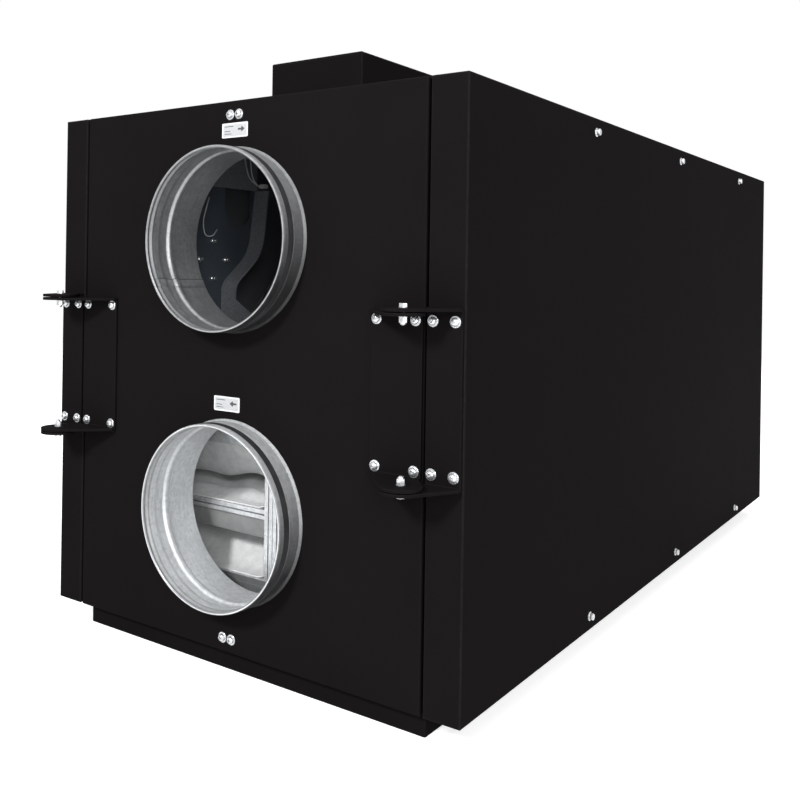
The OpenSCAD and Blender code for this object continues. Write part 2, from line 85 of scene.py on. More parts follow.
def colour(name, description, *default):
    """Setting of a colour."""
    return FloatVectorProperty(
        name=name, description=description, default=default, subtype="COLOR", min=0, max=1)


def length(name, description, *default):
    """Setting of one length, or of several in a row."""
    if len(default) == 1:
        return FloatProperty(name=name, description=description, default=default[0], unit="LENGTH")
    return FloatVectorProperty(
        name=name, description=description, default=default, size=len(default), unit="LENGTH")


def number(name, description, default, subtype):
    """Setting of an angle, a share or a number of pixels, as the subtype says."""
    return FloatProperty(name=name, description=description, default=default, subtype=subtype)


def power(name, description, default):
    """Setting of a lamp's power in watts."""
    return FloatProperty(name=name, description=description, default=default, unit="POWER")


class FinishSettings(bpy.types.PropertyGroup):
    """Colours of the unit's finishes."""

    paint: colour("Paint", "Black powder coat of the casing", 0.0077, 0.0067, 0.0071)
    # Lighter colour of folded edges: partly rubbed paint, partly a painted highlight
    paint_rub_and_highlight: colour("Rubbed edge", "Paint where folded edges are rubbed", 0.055, 0.052, 0.052)
    dust: colour("Dust", "Dust on faces that look up", 0.03, 0.029, 0.028)
    inner: colour("Inner sheet", "Grey sheet inside the casing", 0.50, 0.515, 0.53)
    liner: colour("Door liner", "Dark foam inside the doors", 0.18, 0.185, 0.195)
    zinc: colour("Zinc", "Bright zinc of bolts and screws", 0.74, 0.75, 0.77)
    galvanised: colour("Galvanised sheet", "Galvanised steel of spigots and frames", 0.68, 0.695, 0.71)
    rubber: colour("Rubber", "Seals and gaskets", 0.009, 0.009, 0.010)
    plates: colour("Exchanger plates", "Stacked plates of the heat exchanger", 0.085, 0.09, 0.10)
    moulding: colour("Fan plate", "Dark sheet of fan plates and shelves", 0.066, 0.078, 0.093)
    scroll: colour("Scroll wall", "Grey foam of the scroll walls", 0.21, 0.22, 0.235)
    fan: colour("Fan", "Black plastic of wheels and motors", 0.012, 0.012, 0.013)
    gland: colour("Gland", "Black nylon of the cable glands", 0.02, 0.02, 0.021)
    lead: colour("Lead", "Jacket of the fan's leads", 0.55, 0.56, 0.58)
    clip: colour("Clip", "Pale nylon of the lead clips", 0.64, 0.645, 0.65)
    cloth: colour("Filter cloth", "Needled white filter cloth", 0.88, 0.89, 0.89)
    paper: colour("Label", "Paper of the small labels", 0.80, 0.81, 0.82)
    field: colour("Label field", "Tinted field of the labels", 0.52, 0.53, 0.545)
    ink: colour("Ink", "Print on the labels", 0.07, 0.07, 0.075)


class ScrewSettings(bpy.types.PropertyGroup):
    """Places and sizes of the screws."""

    hinge_columns: length(
        "Hinge columns", "Distances of the hinge screws from the door's outer side",
        0.009, 0.0324, 0.051, 0.0945)
    hinge_rise: length("Hinge rows", "Height of the hinge screw rows above and below mid height", 0.071)
    leaf: length("Leaf", "Thickness of the hinge leaves", 0.003)
    washer_r: length("Washer radius", "Radius of the washers", 0.0056)
    washer_t: length("Washer thickness", "Thickness of the washers", 0.0012)
    head_r: length("Head radius", "Radius of the domed heads", 0.0042)
    head_h: length("Head height", "Height of the domed heads", 0.0036)
    socket_r: length("Socket", "Distance of a hinge screw's socket flats from its axis", 0.0017)
    slot_r: length("Cross slot", "Reach of the arms of a panel screw's slot", 0.0030)
    flange_r: length("Flange", "Radius of a door screw's flange", 0.0052)
    flat_r: length("Flats", "Distance of a door screw's flats from its axis", 0.0036)
    hex_h: length("Hexagon height", "Height of a door screw's head", 0.0052)
    pair_gap: length("Pair spacing", "Distance between the two screws of a pair on the end panels", 0.0125)
    pair_edge: length("Pair edge", "Distance of the screw pairs from the top and bottom edges", 0.0155)
    door_rows: length(
        "Door screws", "Distances of the door screws behind the front face", 0.315, 0.650, 0.992)
    door_edge: length("Door edge", "Distance of the door screws from the top and bottom edges", 0.0172)
    fan_spread: length("Fan screws", "Distance of the motor screws from the fan's axis", 0.025)


class LabelSettings(bpy.types.PropertyGroup):
    """Places and sizes of the two labels on the front."""

    size: length("Label size", "Width and height of a label", 0.0370, 0.0160)
    upper: length("Upper label", "Middle of the upper label, across and up", 0.0003, 0.5925)
    lower: length("Lower label", "Middle of the lower label, across and up", -0.0055, 0.2943)
    border: length("Border", "White border around the tinted field", 0.0016)
    corner: length("Corner", "Radius of a label's corners, twice that of its field", 0.0012)
    thickness: length("Thickness", "Thickness of a label", 0.0003)
    field_t: length("Field", "Thickness of the tinted field", 0.00004)
    ink_t: length("Print", "Thickness of the print", 0.00003)


class SpigotSettings(bpy.types.PropertyGroup):
    """Inside of the spigots, where the sheet laps."""

    tube_r: length("Tube", "Inner radius of the tube", 0.098)
    ring: length("Stop ring", "How far the stop ring stands in", 0.0025)
    ridge: length("Ridge", "How far the seal groove's ridge stands in", 0.002)
    lap_w: length("Lap width", "Width of the sheet's lap", 0.010)
    lap_t: length("Lap thickness", "Step at the edge of the lap", 0.0007)
    upper_lap: number("Upper lap", "Angle of the upper tubes' lap, from +X up", math.radians(207), "ANGLE")
    lower_lap: number("Lower lap", "Angle of the lower tubes' lap, from +X up", math.radians(345), "ANGLE")


class FilterSettings(bpy.types.PropertyGroup):
    """Cloth pockets in the filter frames."""

    stile: length("Stile", "Width of the frame's side bars", 0.012)
    bar: length("Bar", "Height of the frame's level bars", 0.011)
    frame_depth: length("Frame depth", "Depth of the filter frame", 0.025)
    set_back: length("Set back", "Distance of the cloth's edge behind the frame's face", 0.004)
    length: length("Pocket", "Length of a pocket behind its edge", 0.145)
    collapse: length("Collapse", "Depth over which a slack pocket closes", 0.052)
    slack_h: length("Slack height", "Half height of a slack pocket behind its throat", 0.0040)
    wave: length("Wave", "Height of the waves in the slack cloth", 0.0075)
    thickness: length("Cloth", "Thickness of the cloth", 0.0012)
    flap_h: length("Flap", "Height of the flap over a lower pocket", 0.023)


class StageSettings(bpy.types.PropertyGroup):
    """Camera, floor and light."""

    eye: FloatVectorProperty(
        name="Eye", description="Place of the camera", size=3, default=(0.6933, -1.3710, 0.4396),
        subtype="TRANSLATION", unit="LENGTH")
    yaw: number("Yaw", "Turn to the left", 0.6484, "ANGLE")
    pitch: number("Pitch", "Tilt up", 0.0021, "ANGLE")
    roll: number("Roll", "Roll to the left", 0.0151, "ANGLE")
    focal_px: number("Focal length", "Focal length in pixels", 954.735, "PIXEL")
    centre_px: FloatVectorProperty(
        name="Centre", description="Pixel that the camera points at", size=2, default=(309.943, 269.895),
        subtype="COORDINATES")
    frame_px: number("Frame", "Width and height of the picture in pixels", 800, "PIXEL")
    floor: colour("Floor", "Colour of the floor", 0.80, 0.80, 0.80)
    glow: number("Glow", "Strength of the floor's own light where it is seen", 0.66, "FACTOR")
    ambient: number("Ambient", "Strength of the light from all round", 0.45, "FACTOR")
    key_power: power("Key", "Power of the small lamp in front", 44)
    fill_power: power("Fill", "Power of the lamp at the right", 32)
    top_power: power("Top", "Power of the lamp above", 22)
    back_power: power("Back", "Power of the lamp behind", 90)
    front_power: power("Front", "Power of the lamp that looks into the spigots", 14)


# Surfaces

def ring_angles(count):
    """Angles of count points evenly round a circle."""
    return np.linspace(0, 2 * np.pi, count, endpoint=False)


def quads(rows, cols, around=False, along=False):
    """Faces of a grid of points. Around joins the last row to the first, along the last column."""
    row = np.arange(rows if around else rows - 1)[:, None]
    col = np.arange(cols if along else cols - 1)[None, :]
    next_row, next_col = (row + 1) % rows, (col + 1) % cols
    corners = [row * cols + col, next_row * cols + col, next_row * cols + next_col, row * cols + next_col]
    return np.stack(np.broadcast_arrays(*corners), -1).reshape(-1, 4)


def aimed(points, origins, axis):
    """Copies of a grid at each origin, turned about the vertical so that its +Z points along the axis."""
    z = np.asarray(axis, float) / np.linalg.norm(axis)
    x = np.cross((0, 0, 1), z)
    x = x / np.linalg.norm(x)
    turn = np.stack([x, np.cross(z, x), z])
    return np.asarray(origins, float)[:, None, None, :] + points @ turn


def xyz(x, y, z):
    """Points of three coordinates, each spread to the shape of the others."""
    return np.stack(np.broadcast_arrays(x, y, z), -1)


def smoothstep(x):
    """Zero below 0, one above 1, and 3x^2 - 2x^3 between."""
    x = np.clip(x, 0, 1)
    return x * x * (3 - 2 * x)


def soft_bend(x):
    """Zero below 0, one above 1, and half a cosine wave between."""
    return (1 - np.cos(np.pi * np.clip(x, 0, 1))) / 2


def rounded_loop(width, height, corner, steps=6):
    """Outline of a rectangle about the origin with rounded corners, as points (across, up)."""
    turn = np.linspace(0, np.pi / 2, steps)[None, :] + np.arange(4)[:, None] * np.pi / 2
    mid = np.array([[1, 1], [-1, 1], [-1, -1], [1, -1]]) * [width / 2 - corner, height / 2 - corner]
    loop = mid[:, None, :] + corner * np.stack([np.cos(turn), np.sin(turn)], -1)
    return loop.reshape(-1, 2)


def tube(path, radius, sides=10):
    """Circle carried along a smooth path, with its plane square to the path and its ends drawn to a point."""
    path = np.asarray(path, float)
    step = np.gradient(path, axis=0)
    step /= np.linalg.norm(step, axis=1, keepdims=True)
    side = np.cross(step, [1.0, 0.0, 0.0])
    side /= np.linalg.norm(side, axis=1, keepdims=True)
    over = np.cross(step, side)
    turn = ring_angles(sides)[:, None, None]
    size = np.full(len(path), radius)
    size[[0, -1]] = 0
    return path + size[:, None] * (np.cos(turn) * side + np.sin(turn) * over)


def curve_through(points, count=32):
    """Smooth curve through a few points: a Catmull-Rom spline sampled evenly in its parameter."""
    p = np.asarray(points, float)
    p = np.vstack([2 * p[0] - p[1], p, 2 * p[-1] - p[-2]])
    t = np.linspace(0, len(points) - 1 - 1e-9, count)
    i = t.astype(int)
    f = (t - i)[:, None]
    a, b, c, d = p[i], p[i + 1], p[i + 2], p[i + 3]
    square, cube = 2 * a - 5 * b + 4 * c - d, 3 * b - a - 3 * c + d
    return 0.5 * (2 * b + (c - a) * f + square * f ** 2 + cube * f ** 3)


def make_piece(
        name, grids, material, around=True, along=False, body="casing", sharp=35, closed=True):
    """One mesh from grids of points, joined around and along as in quads. Doubles are merged at poles and
    seams, and the faces of closed shapes are turned outwards."""
    points, faces, start = [], [], 0
    for grid in grids:
        rows, cols = grid.shape[:2]
        points.append(grid.reshape(-1, 3))
        faces.append(quads(rows, cols, around, along) + start)
        start += rows * cols
    mesh = bpy.data.meshes.new(name)
    mesh.from_pydata(np.concatenate(points).tolist(), [], np.concatenate(faces).tolist())
    work = bmesh.new()
    work.from_mesh(mesh)
    bmesh.ops.remove_doubles(work, verts=work.verts, dist=1e-6)
    if closed:
        bmesh.ops.recalc_face_normals(work, faces=work.faces)
    work.to_mesh(mesh)
    work.free()
    mesh.shade_smooth()
    mesh.set_sharp_from_angle(angle=math.radians(sharp))
    mesh.materials.append(material)
    piece = bpy.data.objects.new(name, mesh)
    bpy.context.scene.collection.objects.link(piece)
    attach(piece, body)
    return piece


def turned(points, end):
    """Points of the front end, turned half round the vertical axis for the back end."""
    return np.asarray(points, float) * [ENDS[end], ENDS[end], 1]


# Shader helpers

class Nodes:
    """A node tree with short ways to add to it. Most give the new node's output."""

    def __init__(self, tree):
        self.tree = tree

    def put(self, kind, sockets=None, **settings):
        """Outputs of a new node. Sockets, by name or number, take a constant or another node's output."""
        node = self.tree.nodes.new(f"ShaderNode{kind}")
        for name, value in settings.items():
            setattr(node, name, value)
        for key, value in (sockets or {}).items():
            if isinstance(value, bpy.types.NodeSocket):
                self.tree.links.new(value, node.inputs[key])
            else:
                node.inputs[key].default_value = value
        return node.outputs

    def math(self, operation, *values):
        """Result of a Math node."""
        return self.put("Math", dict(enumerate(values)), operation=operation)[0]

    def times(self, *values):
        """Product of the values."""
        return reduce(lambda first, second: self.math("MULTIPLY", first, second), values)

    def largest(self, *values):
        """Largest of the values."""
        return reduce(lambda first, second: self.math("MAXIMUM", first, second), values)

    def vector(self, operation, *values):
        """Outputs of a Vector Math node."""
        return self.put("VectorMath", dict(enumerate(values)), operation=operation)

    def parts(self, vector):
        """The three components of a vector."""
        return self.put("SeparateXYZ", {0: vector})

    def mixed(self, share, low, high):
        """Colour between low and high by a share; each is an output or three numbers."""
        low, high = (end if isinstance(end, bpy.types.NodeSocket) else (*end, 1) for end in (low, high))
        return self.put("Mix", {"Factor": share, 6: low, 7: high}, data_type="RGBA")[2]

    def ranged(self, value, low, high, to_low=0.0, to_high=1.0):
        """Value moved from one range to another, and held within it."""
        return self.put("MapRange", {
            "Value": value, "From Min": low, "From Max": high, "To Min": to_low, "To Max": to_high})[0]

    def noise(self, vector, scale, detail=3.0, roughness=0.5):
        """Noise value at a scale per metre."""
        return self.put("TexNoise", {
            "Vector": vector, "Scale": scale, "Detail": detail, "Roughness": roughness})["Fac"]

    def bumped(self, height, strength, distance, **base):
        """Normal of a Bump node, over a base Normal if one is given."""
        return self.put("Bump", {"Height": height, "Strength": strength, "Distance": distance, **base})[0]


class Group(Nodes):
    """Node group. Its inputs are named with their defaults, and one without a default is a vector."""

    def __init__(self, name, **inputs):
        super().__init__(bpy.data.node_groups.new(name, "ShaderNodeTree"))
        for title, default in inputs.items():
            kind = "NodeSocketVector" if default is None else "NodeSocketFloat"
            socket = self.tree.interface.new_socket(title, in_out="INPUT", socket_type=kind)
            if default is not None:
                socket.default_value = default
        self.given = self.tree.nodes.new("NodeGroupInput").outputs

    def link(self, **outputs):
        """Passes the named outputs out of the group, and gives its tree."""
        for title, output in outputs.items():
            kind = "NodeSocketVector" if output.type == "VECTOR" else "NodeSocketFloat"
            self.tree.interface.new_socket(title, in_out="OUTPUT", socket_type=kind)
        passed = self.tree.nodes.new("NodeGroupOutput").inputs
        for title, output in outputs.items():
            self.tree.links.new(output, passed[title])
        return self.tree


class Look(Nodes):
    """Material with a Principled shader. Constants go on the shader's own sockets, with _ for a space."""

    def __init__(self, name, **constants):
        self.material = bpy.data.materials.new(name)
        self.material.use_nodes = True
        super().__init__(self.material.node_tree)
        self.shader = self.tree.nodes["Principled BSDF"]
        for key, value in constants.items():
            self.shader.inputs[key.replace("_", " ")].default_value = value
        self.place = self.put("TexCoord")["Object"]

    def effect(self, group, **sockets):
        """Outputs of a shared effect at the object's own coordinates."""
        return self.put("Group", {"Vector": self.place, **sockets}, node_tree=group)

    def link(self, **outputs):
        """Links outputs to the shader's sockets, with _ for a space, and gives the material."""
        for key, output in outputs.items():
            self.tree.links.new(output, self.shader.inputs[key.replace("_", " ")])
        return self.material


def scaled(colour, factor):
    """Colour times a factor."""
    return tuple(factor * part for part in colour)


# Shared effects, each built once

@cache
def grain_group():
    """Powder grain: fine bumps of a sprayed or moulded skin, and broad faint patches over it."""
    group = Group("Grain", Vector=None, Fine=900.0, Broad=6.0)
    place = group.given["Vector"]
    broad = group.noise(place, group.given["Broad"], 4.0, 0.6)
    return group.link(
        Height=group.noise(place, group.given["Fine"], 2.0), Patch=group.ranged(broad, 0.3, 0.7))


@cache
def edge_group():
    """Edges: a normal rounded over sharp edges, and a mask that is one where it leaves the face. In the paint
    the mask lightens folded edges, partly as rubbed paint and partly as a painted highlight.
    """
    group = Group("Edge rub", Vector=None, Radius=0.0015)
    bevel = group.put("Bevel", {"Radius": group.given["Radius"]}, samples=6)[0]
    face = group.put("NewGeometry")["True Normal"]
    edge = group.ranged(group.vector("DOT_PRODUCT", bevel, face)["Value"], 0.995, 0.85)
    broken = group.ranged(group.noise(group.given["Vector"], 160.0), 0.35, 0.65, 0.5, 1.0)
    return group.link(Normal=bevel, Mask=group.times(edge, broken))


@cache
def dust_group():
    """Dust: a mask on faces that look up, broken by noise."""
    group = Group("Dust", Vector=None, Amount=0.3)
    up = group.parts(group.put("NewGeometry")["Normal"])[2]
    cloud = group.ranged(group.noise(group.given["Vector"], 14.0, 6.0, 0.65), 0.35, 0.75)
    return group.link(Mask=group.times(group.ranged(up, 0.2, 1.0), cloud, group.given["Amount"]))


@cache
def spangle_group():
    """Zinc spangle: flat cells of slightly different shade, with fine rolling marks along the sheet."""
    group = Group("Spangle", Vector=None, Rolled=None, Cells=260.0)
    place = group.given["Vector"]
    wobble = group.put("TexNoise", {"Vector": place, "Scale": 60.0, "Detail": 2.0})["Color"]
    moved = group.vector("MULTIPLY", wobble, (0.004, 0.004, 0.004))[0]
    shifted = group.vector("ADD", place, moved)[0]
    cells = group.put("TexVoronoi", {"Vector": shifted, "Scale": group.given["Cells"]})["Color"]
    tone = group.put("SeparateColor", {0: cells})[0]
    marks = group.noise(group.given["Rolled"], 1.0, 4.0, 0.6)
    speck = group.noise(place, 1500.0, 2.0)
    shade = group.math("MULTIPLY_ADD", tone, 0.22, group.times(speck, 0.28))
    shade = group.math("MULTIPLY_ADD", marks, 0.5, shade)
    gloss = group.math("ADD", group.times(marks, 0.6), group.times(tone, 0.4))
    return group.link(Shade=group.ranged(shade, 0.25, 0.75), Gloss=gloss, Height=marks)


# Materials

def inside_mask(look):
    """One within the box that the casing's inner faces bound, where the sheet is grey."""
    low = Vector((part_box("left_door")[1].x, FRONT_PANEL[1].y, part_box("floor_panel")[1].z))
    high = Vector((RIGHT_DOOR[0].x, BACK_PANEL[0].y, ROOF_Z))
    half = (high - low) / 2 + Vector((MM, MM, MM))
    shifted = look.vector("SUBTRACT", look.place, (low + high) / 2)[0]
    spread = look.vector("ABSOLUTE", look.vector("DIVIDE", shifted, half)[0])[0]
    return look.math("LESS_THAN", look.largest(*look.parts(spread)), 1.0)


def paint_material(name, finish, rub_and_highlight, inner):
    """Black powder coat: satin, with a fine grain, faint patches, lighter folds that are partly rubbed paint
    and partly a painted highlight, and a little dust on top. The inner faces are plain and have a colour of
    their own."""
    look = Look(name, Specular_IOR_Level=0.003)
    grain = look.effect(grain_group(), Fine=1100.0, Broad=5.0)
    edge = look.effect(edge_group(), Radius=0.0018)
    dust = look.effect(dust_group(), Amount=0.14)
    colour = look.mixed(grain["Patch"], finish.paint, scaled(finish.paint, 1.2))
    # Lighter folds: partly rubbed paint, partly a painted highlight along the edges
    colour = look.mixed(look.times(edge["Mask"], rub_and_highlight), colour, finish.paint_rub_and_highlight)
    colour = look.mixed(dust["Mask"], colour, finish.dust)
    bare = look.mixed(grain["Patch"], scaled(inner, 0.8), inner)
    return look.link(
        Base_Color=look.mixed(inside_mask(look), colour, bare),
        Roughness=look.ranged(grain["Patch"], 0, 1, 0.60, 0.70),
        Normal=look.bumped(grain["Height"], 0.25, 0.0002, Normal=edge["Normal"]))


def zinc_material(finish):
    """Bright zinc plating: clear metal with faint clouds and fine scratches."""
    look = Look("Bright zinc", Metallic=0.75)
    cloud = look.noise(look.place, 420.0, 4.0, 0.6)
    return look.link(
        Base_Color=look.mixed(look.ranged(cloud, 0.35, 0.7), finish.zinc, scaled(finish.zinc, 0.62)),
        Roughness=look.ranged(cloud, 0.3, 0.7, 0.16, 0.34),
        Normal=look.bumped(look.noise(look.place, 2400.0, 2.0), 0.08, 0.0001))


def galvanised_material(name, finish, metallic, marks, outside=None, dark=None, bright=1.0):
    """Galvanised sheet: metal with a spangle and rolling marks. Marks gives the marks' vector, outside an
    optional mask of matt metal whose colour has painted shade, darkest on faces that look down, and dark an
    optional mask that darkens seams and spots and adds painted shade."""
    look = Look(name, Metallic=metallic)
    sheet = finish.galvanised
    zinc = look.effect(spangle_group(), Rolled=marks(look))
    edge = look.effect(edge_group(), Radius=0.0008)
    colour = look.mixed(zinc["Shade"], scaled(sheet, 0.72 * bright), scaled(sheet, 1.2 * bright))
    if outside is not None:
        out = outside(look)
        # Painted shade: the outside grows darker on faces that look down and stays lighter on faces that look
        # up
        up = look.parts(look.put("NewGeometry")["True Normal"])[2]
        dull_and_shaded = look.mixed(look.ranged(up, -0.5, 0.9, 0.06, 0.8), (0.01, 0.01, 0.01), colour)
        colour = look.mixed(out, colour, dull_and_shaded)
        look.link(Metallic=look.ranged(out, 0, 1, metallic, 0.25))
    if dark is not None:
        colour = look.mixed(dark(look), colour, scaled(sheet, 0.16))
    return look.link(
        Base_Color=colour,
        Roughness=look.ranged(zinc["Gloss"], 0.2, 0.8, 0.30, 0.46),
        Normal=look.bumped(zinc["Height"], 0.22, 0.0003, Normal=edge["Normal"]))


def about_axis(look, height):
    """Distance from a spigot's axis, turn round it as seen from outside, and way out from the end panel."""
    x, y, z = look.parts(look.place)
    up = look.math("SUBTRACT", z, height)
    flat = look.put("CombineXYZ", {0: x, 2: up})[0]
    facing = look.times(look.math("SIGN", y), -1.0)
    turn = look.math("ARCTAN2", up, look.times(x, facing))
    return look.vector("LENGTH", flat)["Value"], turn, look.math("ADD", look.math("ABSOLUTE", y), FRONT_Y)


def spigot_material(name, finish, height, spigots, lap, metallic, bright):
    """Galvanised spigot: the marks run round the tube, slow in angle and quick along the axis. The outside is
    matt metal with painted shade that darkens it towards the bottom. A dark seam runs along the lap with a
    row of spots beside it, and the bend at the rim and the rim's inner roll get painted shade."""
    tube_r = spigots.tube_r
    skin = (tube_r + 0.5 * MM, tube_r + 0.9 * MM)
    spots_per_metre = 220.0

    def marks(look):
        _, turn, along = about_axis(look, height)
        return look.put("CombineXYZ", {0: look.times(turn, 1.2), 1: look.times(along, 520.0)})[0]

    def outside(look):
        return look.ranged(about_axis(look, height)[0], *skin)

    def dark(look):
        radius, turn, along = about_axis(look, height)
        off = look.times(look.math("SUBTRACT", turn, lap - 2 * math.pi), tube_r)
        from_seam = look.math("ABSOLUTE", look.math("ADD", off, 0.3 * MM))
        seam = look.ranged(from_seam, 0.8 * MM, 0.4 * MM, 0, 0.75)
        step = look.math("SUBTRACT", look.math("FRACT", look.times(along, spots_per_metre)), 0.5)
        spot = look.put("CombineXYZ", {
            0: look.math("ADD", off, 1.8 * MM), 1: look.math("DIVIDE", step, spots_per_metre)})[0]
        spots = look.ranged(look.vector("LENGTH", spot)["Value"], 0.9 * MM, 0.5 * MM, 0, 0.7)
        spots = look.times(spots, look.math("GREATER_THAN", along, 9.0 * MM))
        # Painted shade: the pressed bend near the rim and the inner roll of the rim are darkened to dim their
        # highlights
        rise = look.ranged(along, 26.5 * MM, 28.5 * MM, 0, 0.62)
        bend = look.math("MINIMUM", rise, look.ranged(along, 34.0 * MM, 32.8 * MM))
        rolled = look.ranged(radius, tube_r - 0.1 * MM, tube_r - 0.6 * MM, 0, 0.7)
        rim = look.times(look.math("GREATER_THAN", along, 33.5 * MM), rolled)
        return look.times(look.largest(seam, spots, bend, rim), look.ranged(radius, *reversed(skin)))

    return galvanised_material(name, finish, metallic, marks, outside, dark, bright)


def level_marks(look):
    """Marks that run level along a flat sheet."""
    return look.vector("MULTIPLY", look.place, (14.0, 60.0, 700.0))[0]


def rubber_material(finish):
    """Matt black rubber with a fine skin."""
    look = Look("Seal rubber", Roughness=0.78, Specular_IOR_Level=0.3)
    grain = look.effect(grain_group(), Fine=1600.0, Broad=40.0)
    return look.link(
        Base_Color=look.mixed(grain["Patch"], finish.rubber, scaled(finish.rubber, 3.0)),
        Normal=look.bumped(grain["Height"], 0.3, 0.0002))


def exchanger_material(finish):
    """Stack of thin plates across the unit: painted shade in the slots between plate edges, each plate of its
    own tone.
    """
    look = Look("Exchanger plates", Roughness=0.48)
    plates_per_metre = 260.0
    count = look.times(look.parts(look.place)[0], plates_per_metre)
    ridge = look.math("PINGPONG", look.math("FRACT", count), 0.5)
    edge = look.ranged(ridge, 0.12, 0.3)
    plate = look.put("TexWhiteNoise", {"W": look.math("FLOOR", count)}, noise_dimensions="1D")["Value"]
    share = look.times(edge, look.ranged(plate, 0, 1, 0.75, 1.0))
    return look.link(
        # Near black in the slots between plates is painted shade
        Base_Color=look.mixed(share, (0.004, 0.004, 0.005), scaled(finish.plates, 1.3)),
        Normal=look.bumped(edge, 0.7, 0.002))


def fan_material(finish):
    """Dark fan plate and shelves, with the scroll wall beside the plate in speckled grey foam."""
    look = Look("Fan plate and scroll", Specular_IOR_Level=0.35)
    across = look.math("ABSOLUTE", look.parts(look.place)[0])
    plate_x = abs(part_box("front_fan_plate")[0].x)
    wall = look.ranged(across, plate_x - 2.2 * MM, plate_x - 2.8 * MM)
    speck = look.ranged(look.noise(look.place, 700.0, 2.0), 0.4, 0.75)
    foam = look.mixed(speck, finish.scroll, scaled(finish.scroll, 1.7))
    grain = look.effect(grain_group(), Fine=900.0, Broad=12.0)
    sheet = look.mixed(grain["Patch"], finish.moulding, scaled(finish.moulding, 1.5))
    return look.link(
        Base_Color=look.mixed(wall, sheet, foam),
        Roughness=look.ranged(wall, 0, 1, 0.42, 0.85),
        Normal=look.bumped(grain["Height"], 0.3, 0.0003))


def plastic_material(name, colour, roughness):
    """Moulded plastic with a fine spark grain."""
    look = Look(name)
    grain = look.effect(grain_group(), Fine=1300.0, Broad=30.0)
    return look.link(
        Base_Color=look.mixed(grain["Patch"], colour, scaled(colour, 1.5)),
        Roughness=look.ranged(grain["Patch"], 0, 1, roughness, roughness + 0.12),
        Normal=look.bumped(grain["Height"], 0.25, 0.0002))


def cloth_material(name, finish, shade):
    """Needled filter cloth: matted fibres and soft clumps."""
    look = Look(name, Roughness=0.95, Sheen_Weight=0.25, Specular_IOR_Level=0.15)
    matted = look.vector("MULTIPLY", look.place, (1.0, 2.2, 1.0))[0]
    fibre = look.noise(matted, 1500.0, 4.0, 0.7)
    clump = look.noise(look.place, 90.0, 5.0, 0.6)
    both = look.math("ADD", look.times(fibre, 0.5), look.times(clump, 0.5))
    worn = scaled(finish.cloth, 0.74 * shade)
    return look.link(
        Base_Color=look.mixed(look.ranged(both, 0.36, 0.62), worn, scaled(finish.cloth, shade)),
        Normal=look.bumped(both, 0.55, 0.0012))


def paper_material(name, colour):
    """Paper label with a slightly uneven print."""
    look = Look(name, Roughness=0.5)
    tone = look.ranged(look.noise(look.place, 380.0), 0.3, 0.7)
    return look.link(Base_Color=look.mixed(tone, scaled(colour, 0.93), colour))


MATERIALS = {}


def dress(material, *nodes):
    """Puts a material on CAD nodes."""
    for node in nodes:
        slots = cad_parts[node].data.materials
        slots.clear()
        slots.append(material)


# Screw heads

HEAD_POINTS = 36


def hexagon(turn):
    """Radius of a hexagon with flats at distance one, by angle."""
    return 1 / np.cos((turn + np.pi / 6) % (np.pi / 3) - np.pi / 6)


def cross_slot(turn):
    """Radius of a four-armed recess, by angle: short between the arms and long along them."""
    return 0.32 + 0.68 * np.abs(np.cos(2 * turn)) ** 5


def lathed(rings, count=HEAD_POINTS):
    """Rings (radius, height) from the foot to the axis, carried round +Z: x = r cos t, y = r sin t, z = h.
    A radius may be a column that goes by angle."""
    turn = ring_angles(count)[:, None]
    radius, height = (np.hstack([part + 0 * turn for part in parts]) for parts in zip(*rings))
    return xyz(radius * np.cos(turn), radius * np.sin(turn), height)


def domed_head(screws, recess, recess_r):
    """Domed head on a washer. Rings of radius and height climb over the washer and the dome, and the last
    three sink into a recess whose outline is a function of the angle."""
    r, t, w, h = screws.head_r, screws.washer_t, screws.washer_r, screws.head_h
    rings = [(w, 0), (w, 0.8 * t), (w - 0.25 * t, t), (r, t)]
    rings += [(r * np.cos(a), t + h * (0.25 + 0.75 * np.sin(a))) for a in np.radians([0, 18, 36, 52, 66])]
    top = rings[-1][1]
    inner = recess_r * recess(ring_angles(HEAD_POINTS)[:, None])
    return lathed(rings + [(inner, top), (0.9 * inner, top - 0.55 * h), (0, top - 0.65 * h)])


def hex_washer_head(screws):
    """Hexagon on a round flange: the flange's rings are circles, the hexagon's follow its flats, and the top
    is cut back at the corners."""
    flange, flat, height = screws.flange_r, screws.flat_r, screws.hex_h
    six = flat * hexagon(ring_angles(HEAD_POINTS)[:, None])
    return lathed([
        (flange, 0), (flange, 0.18 * height), (0.86 * flange, 0.28 * height), (six, 0.34 * height),
        (six, 0.9 * height), (np.minimum(six, 0.96 * flat), height), (0.6 * flat, 0.93 * height),
        (0, 0.9 * height)])


def heads_piece(name, head, origins, axis, body="casing"):
    """Joined mesh of like heads at the given places."""
    make_piece(name, aimed(head, origins, axis), MATERIALS["zinc"], body=body)


# Labels

def arrow_loop(long, tall):
    """Outline of a plain arrow about the origin, as points (across, up)."""
    neck, shaft, half = 0.05 * long, 0.16 * tall, tall / 2
    return np.array([
        (-long / 2, -shaft), (neck, -shaft), (neck, -half), (long / 2, 0),
        (neck, half), (neck, shaft), (-long / 2, shaft)])


def plate(loop, middle, base, thick):
    """Flat plate on the front face: its outline at the base, at the top, and drawn to its middle."""
    levels = ((loop, base), (loop, base + thick), (0 * loop + loop.mean(0), base + thick))
    return np.stack([
        xyz(middle[0] + ring[:, 0], FRONT_Y - out, middle[1] + ring[:, 1]) for ring, out in levels], 1)


# Spigot laps

